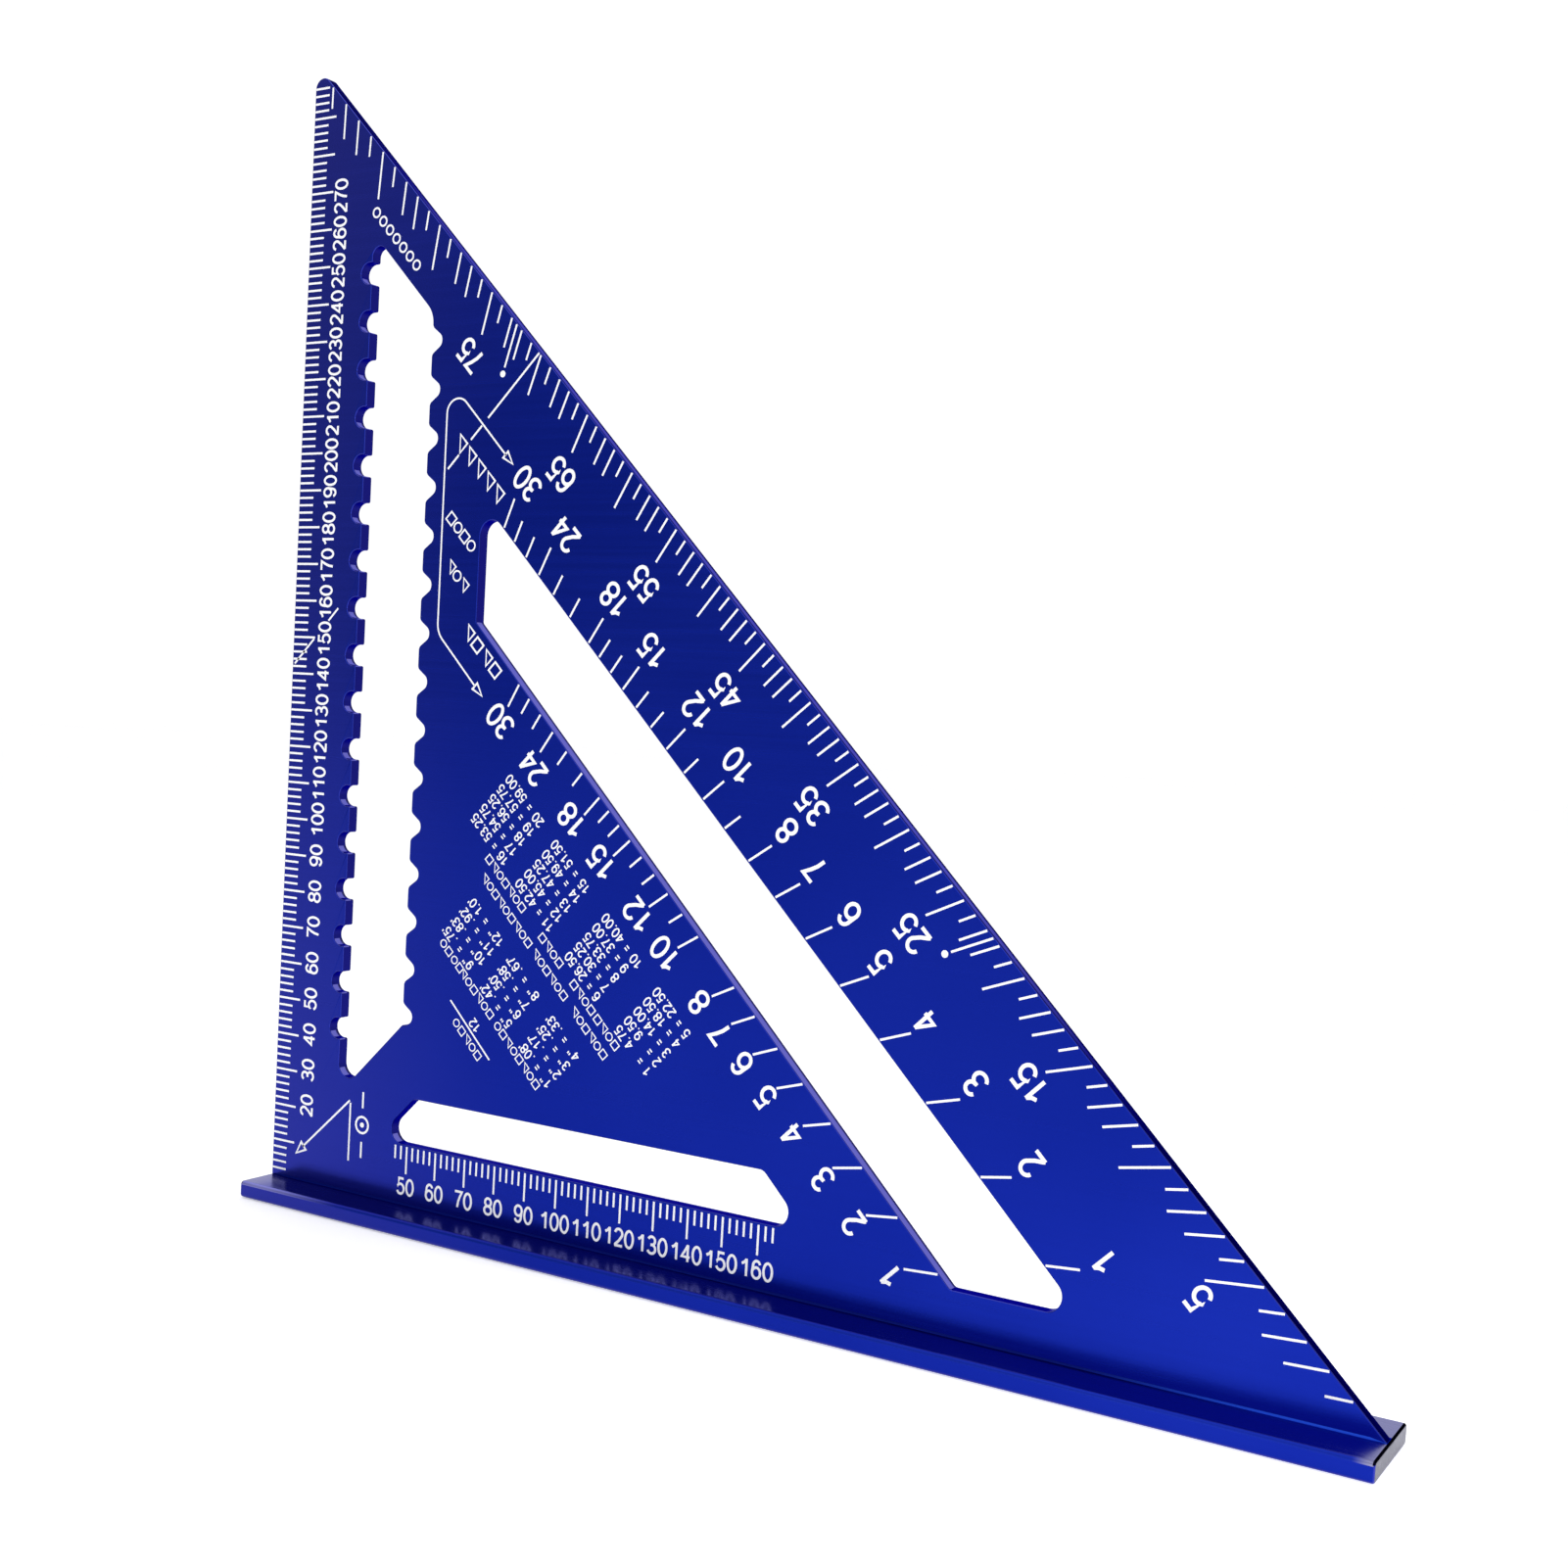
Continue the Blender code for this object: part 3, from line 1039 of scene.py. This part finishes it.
def glance(tree):
    """Nothing where the surface is seen face on, rising to one where it is seen at a slant."""
    weight = tree.nodes.new("ShaderNodeLayerWeight")
    weight.inputs["Blend"].default_value = 0.5
    return ramp(tree, weight.outputs["Facing"], *SLANT, 0, 1)


def anodised_metal(name, dark, light, veiled, edge_on, rough):
    """Anodised aluminium: drawn grain, a fine etch, and a dye that drifts from dark to light.

    At a slant the clear oxide over the dye adds a thin veil.
    """
    material, tree, shader = new_material(name)
    shader.inputs["Metallic"].default_value = 1.0
    shader.inputs["Specular Tint"].default_value = (*edge_on, 1)
    drift = noise(tree, (1, 1, 1), 14, 2)
    grain = noise(tree, ALONG_GRAIN, 900, 3)
    etch = noise(tree, (1, 1, 1), 2600, 2)
    dye = blend_colors(tree, remap(tree, drift, 0, 1), dark, light)
    tree.links.new(blend_colors(tree, glance(tree), dye, veiled), shader.inputs["Base Color"])
    tree.links.new(remap(tree, grain, *rough), shader.inputs["Roughness"])
    fine = bump(tree, etch, 0.00002, 0.25)
    tree.links.new(bump(tree, grain, 0.00003, 0.2, fine), shader.inputs["Normal"])
    return material


# Where the painted shade, highlights and reflections change, in metres: along the square (x) or through
# the blade (y).
SLOT_TOE = (0.06, 0.11)
SLOT_BACK = (0.0002, 0.0009)
SLOPE_TIP = (-0.14, -0.09)
SLOPE_TOE = (0.05, 0.11)
SLOPE_FRONT = (-0.0013, -0.0009)
SLOPE_BACK = (0.0002, 0.0008)
LEDGE_LEFT = (-0.151, -0.1415)
LEDGE_RIGHT = (0.1475, 0.1525)
LEDGE_STEP = (-0.001, 0.001)     # from the front ledge to the back one
LEDGE_EDGE_LEFT = (-0.15, -0.115)
LEDGE_EDGE_RIGHT = (0.148, 0.152)
ROOT_RIGHT = (0.085, 0.135)
PALE_SHARE = 0.9                 # how pale the ledges are painted at their ends, a painted reflection
BACK_LEDGE_REACH = 0.009         # and how much further in the back one's painted reflection reaches

# Colours that another one turns into: painted shade (the first), then painted highlights and
# reflections (the rest).
DEEP = (0.006, 0.005, 0.07)
WALL_HIGHLIGHT = (0.13, 0.13, 0.5)
PALE = (0.2, 0.2, 0.34)
PALE_EDGE = (0.24, 0.24, 0.6)
LIT_ROOT = (0.01, 0.045, 0.42)


def anodised(name):
    """The blade's and the bar's flat faces."""
    return anodised_metal(
        name, dark=(0.0047, 0.015, 0.265), light=(0.0065, 0.019, 0.3),
        veiled=(0.0265, 0.032, 0.29), edge_on=(0.78, 0.78, 1), rough=(0.2, 0.28),
    )


def worn_edge(name):
    """The front rounded edges and the bar's end edges, painted a lighter blue as a highlight."""
    return anodised_metal(
        name, dark=(0.012, 0.024, 0.3), light=(0.04, 0.05, 0.37),
        veiled=(0.06, 0.065, 0.36), edge_on=(0.7, 0.7, 1), rough=(0.2, 0.3),
    )


def deep_dye(name):
    """Painted shade: the slot walls that don't face up the slope, and the back rounded edges, painted a
    dark blue.
    """
    return anodised_metal(
        name, dark=(0.005, 0.008, 0.13), light=(0.01, 0.011, 0.17),
        veiled=(0.012, 0.012, 0.17), edge_on=(0.25, 0.25, 0.8), rough=(0.25, 0.34),
    )


def rubbed_wall(name):
    """The slot walls that look up the slope, painted a lighter blue along their front half as a
    highlight, with painted shade towards the toe and on their back half.
    """
    material = anodised_metal(
        name, dark=(0.1, 0.1, 0.44), light=(0.14, 0.14, 0.52),
        veiled=WALL_HIGHLIGHT, edge_on=(0.6, 0.6, 1), rough=(0.2, 0.3),
    )
    tree = material.node_tree
    x, y, _ = object_place(tree)
    toe = ramp(tree, x, *SLOT_TOE, 0, 1)
    back = ramp(tree, y, *SLOT_BACK, 0, 1)
    recolor(material, math_node(tree, "MAXIMUM", toe, back), DEEP)
    return material


def slope_wall(name):
    """The slope's own edge, painted near black as shade, with a painted highlight along a narrow line
    at its front from near the tip to near the toe, and dark blue painted shade on its back half.
    """
    material = anodised_metal(
        name, dark=(0.002, 0.002, 0.04), light=(0.004, 0.004, 0.06),
        veiled=(0.003, 0.003, 0.04), edge_on=(0.3, 0.3, 0.6), rough=(0.2, 0.3),
    )
    tree = material.node_tree
    x, y, _ = object_place(tree)
    below_tip = ramp(tree, x, *SLOPE_TIP, 0, 1)
    above_toe = ramp(tree, x, *SLOPE_TOE, 1, 0)
    along = math_node(tree, "MULTIPLY", below_tip, above_toe)
    front = ramp(tree, y, *SLOPE_FRONT, 0, 1)
    recolor(material, math_node(tree, "MULTIPLY", along, front), WALL_HIGHLIGHT)
    recolor(material, ramp(tree, y, *SLOPE_BACK, 0, 1), DEEP)
    return material


def ledge(name):
    """The ledges, painted pale at the bar's two ends, and further in on the back ledge behind the toe,
    as a painted reflection.
    """
    material = anodised(name)
    tree = material.node_tree
    x, y, _ = object_place(tree)
    toe = math_node(tree, "ADD", x, ramp(tree, y, *LEDGE_STEP, 0, BACK_LEDGE_REACH))
    recolor(material, ramp(tree, x, *LEDGE_LEFT, PALE_SHARE, 0), PALE)
    recolor(material, ramp(tree, toe, *LEDGE_RIGHT, 0, PALE_SHARE), PALE)
    return material


def ledge_edge(name):
    """The ledges' long rounded edges, a lighter blue and paler still at their ends, as a painted
    highlight.
    """
    material = anodised_metal(
        name, dark=(0.006, 0.018, 0.26), light=(0.008, 0.022, 0.3),
        veiled=(0.018, 0.024, 0.29), edge_on=(0.5, 0.55, 1), rough=(0.3, 0.42),
    )
    tree = material.node_tree
    x = object_place(tree)["X"]
    recolor(material, ramp(tree, x, *LEDGE_EDGE_LEFT, 1, 0), PALE_EDGE)
    recolor(material, ramp(tree, x, *LEDGE_EDGE_RIGHT, 0, 1), PALE)
    return material


def root_dye(name):
    """Painted shade in the inside corner along the ledge, giving way to a painted highlight towards the
    toe.
    """
    material = anodised_metal(
        name, dark=(0.0022, 0.006, 0.1), light=(0.003, 0.007, 0.12),
        veiled=(0.003, 0.007, 0.11), edge_on=(0.25, 0.3, 0.95), rough=(0.34, 0.44),
    )
    tree = material.node_tree
    recolor(material, ramp(tree, object_place(tree)["X"], *ROOT_RIGHT, 0, 1), LIT_ROOT)
    return material


def dark_corner(name):
    """The ledge's corners at the bar's sawn ends, painted near black as shade."""
    return anodised_metal(
        name, dark=(0.002, 0.002, 0.01), light=(0.004, 0.004, 0.02),
        veiled=(0.003, 0.003, 0.012), edge_on=(0.12, 0.12, 0.2), rough=(0.35, 0.45),
    )


def cut_end(name):
    """The bar's sawn ends, paler than its drawn faces."""
    return anodised_metal(
        name, dark=(0.1, 0.1, 0.12), light=(0.13, 0.13, 0.17),
        veiled=(0.12, 0.12, 0.15), edge_on=(0.77, 0.77, 0.82), rough=(0.26, 0.34),
    )


def white_print():
    """Matt white ink, a little uneven."""
    material, tree, shader = new_material("white_print")
    shader.inputs["Metallic"].default_value = 0.0
    speckle = noise(tree, (1, 1, 1), 1800, 3)
    color = blend_colors(tree, remap(tree, speckle, 0, 1), (0.9, 0.91, 0.93), (0.96, 0.96, 0.97))
    tree.links.new(color, shader.inputs["Base Color"])
    tree.links.new(remap(tree, speckle, 0.5, 0.65), shader.inputs["Roughness"])
    tree.links.new(bump(tree, speckle, 0.00001, 0.3), shader.inputs["Normal"])
    return material


FLOOR_RADIUS = 6
FLOOR_GAP = 0.0002           # so that the floor and the bar's underside don't share a plane
TABLE_GLOW = 0.1             # everywhere
POOL_GLOW = 0.7              # and on top of that at the pool's middle
POOL_MIDDLE = (0.2, -0.05, 0)
POOL_REACH = 0.25


def floor_material():
    """A white light table, lit from below as well as from above, with a brighter pool at the toe."""
    material, tree, shader = new_material("pale_floor")
    cloud = noise(tree, (1, 1, 1), 3, 2)
    color = blend_colors(tree, remap(tree, cloud, 0, 1), (0.84, 0.84, 0.845), (0.86, 0.86, 0.86))
    tree.links.new(color, shader.inputs["Base Color"])
    shader.inputs["Roughness"].default_value = 0.9
    place = tree.nodes.new("ShaderNodeTexCoord")
    distance = tree.nodes.new("ShaderNodeVectorMath")
    distance.operation = "DISTANCE"
    distance.inputs[1].default_value = POOL_MIDDLE
    tree.links.new(place.outputs["Object"], distance.inputs[0])
    reach = math_node(tree, "DIVIDE", distance.outputs["Value"], POOL_REACH)
    fall = math_node(tree, "ADD", math_node(tree, "POWER", reach, 2), 1)
    glow = math_node(tree, "ADD", math_node(tree, "DIVIDE", POOL_GLOW, fall), TABLE_GLOW)
    shader.inputs["Emission Color"].default_value = (1, 1, 1, 1)
    tree.links.new(glow, shader.inputs["Emission Strength"])
    return material


# ---------------------------------------------------------------- studio

SIDE_WALL = 0.55             # the studio's front, left and right of the camera
BACK_WALL = 1.05
WALL_TURN = 0.4              # how far to each side the one fades into the other
SOFTBOX = 1.4                # over the camera, on top of the wall's own light
SOFTBOX_DIRECTION = (0.0, -0.95, 0.31)
SOFTBOX_RIM = 0.82           # the cosine of its radius, seen from the square

SUN_STRENGTH = 0.6
SUN_SPREAD = 50              # degrees
SUN_TURN = (14, -16, 0)      # degrees about x, y and z

LENS = 43.26
SENSOR_WIDTH = 36
CAMERA_SHIFT = (0.0215, 0.0236)
CAMERA_PLACE = (0.2298, -0.3785, 0.1402)
CAMERA_TURN = (86.74, -3.12, 31.75)      # degrees about x, y and z


def make_floor():
    rim = [(x, y, 0) for x, y in oval(0, 0, FLOOR_RADIUS, FLOOR_RADIUS)]
    top = bpy.data.meshes.new("floor")
    top.from_pydata(rim, [], [range(len(rim))])
    top.materials.append(floor_material())
    table = bpy.data.objects.new("floor", top)
    table.location.z = -FLOOR_GAP
    bpy.context.collection.objects.link(table)


def make_world():
    """A white studio: pale behind the square, dimmer in front, with a round softbox over the camera."""
    world = bpy.data.worlds.new("studio")
    world.use_nodes = True
    bpy.context.scene.world = world
    tree = world.node_tree
    direction = tree.nodes.new("ShaderNodeTexCoord").outputs["Generated"]
    parts = tree.nodes.new("ShaderNodeSeparateXYZ")
    tree.links.new(direction, parts.inputs["Vector"])
    toward = tree.nodes.new("ShaderNodeVectorMath")
    toward.operation = "DOT_PRODUCT"
    toward.inputs[1].default_value = SOFTBOX_DIRECTION
    tree.links.new(direction, toward.inputs[0])
    walls = ramp(tree, parts.outputs["Y"], -WALL_TURN, WALL_TURN, SIDE_WALL, BACK_WALL)
    softbox = ramp(tree, toward.outputs["Value"], SOFTBOX_RIM, 1, 0, SOFTBOX)
    tree.links.new(math_node(tree, "ADD", walls, softbox), tree.nodes["Background"].inputs["Strength"])
    tree.nodes["Background"].inputs["Color"].default_value = (1, 1, 1, 1)


def make_light():
    """A wide soft light from high above, a little to the left."""
    sun = bpy.data.lights.new("overhead", "SUN")
    sun.energy = SUN_STRENGTH
    sun.angle = math.radians(SUN_SPREAD)
    light = bpy.data.objects.new("overhead", sun)
    light.rotation_euler = [math.radians(angle) for angle in SUN_TURN]
    bpy.context.collection.objects.link(light)


def make_camera():
    camera = bpy.data.cameras.new("camera")
    camera.lens = LENS
    camera.sensor_width = SENSOR_WIDTH
    camera.shift_x, camera.shift_y = CAMERA_SHIFT
    holder = bpy.data.objects.new("camera", camera)
    holder.location = CAMERA_PLACE
    holder.rotation_euler = [math.radians(angle) for angle in CAMERA_TURN]
    bpy.context.collection.objects.link(holder)
    bpy.context.scene.camera = holder


PRINT = white_print()

make_camera()
make_world()
make_light()
make_floor()
make_blade()
make_fence()
make_upright_scale()
make_base_scale()
make_degree_scale()
make_common_scale()
make_hip_valley_scale()
make_guide_line()
make_slant_dashes()
make_pivot_arrow()
make_scale_symbols()
make_tables()
make_table_headings()

bpy.context.scene.view_settings.view_transform = "Standard"
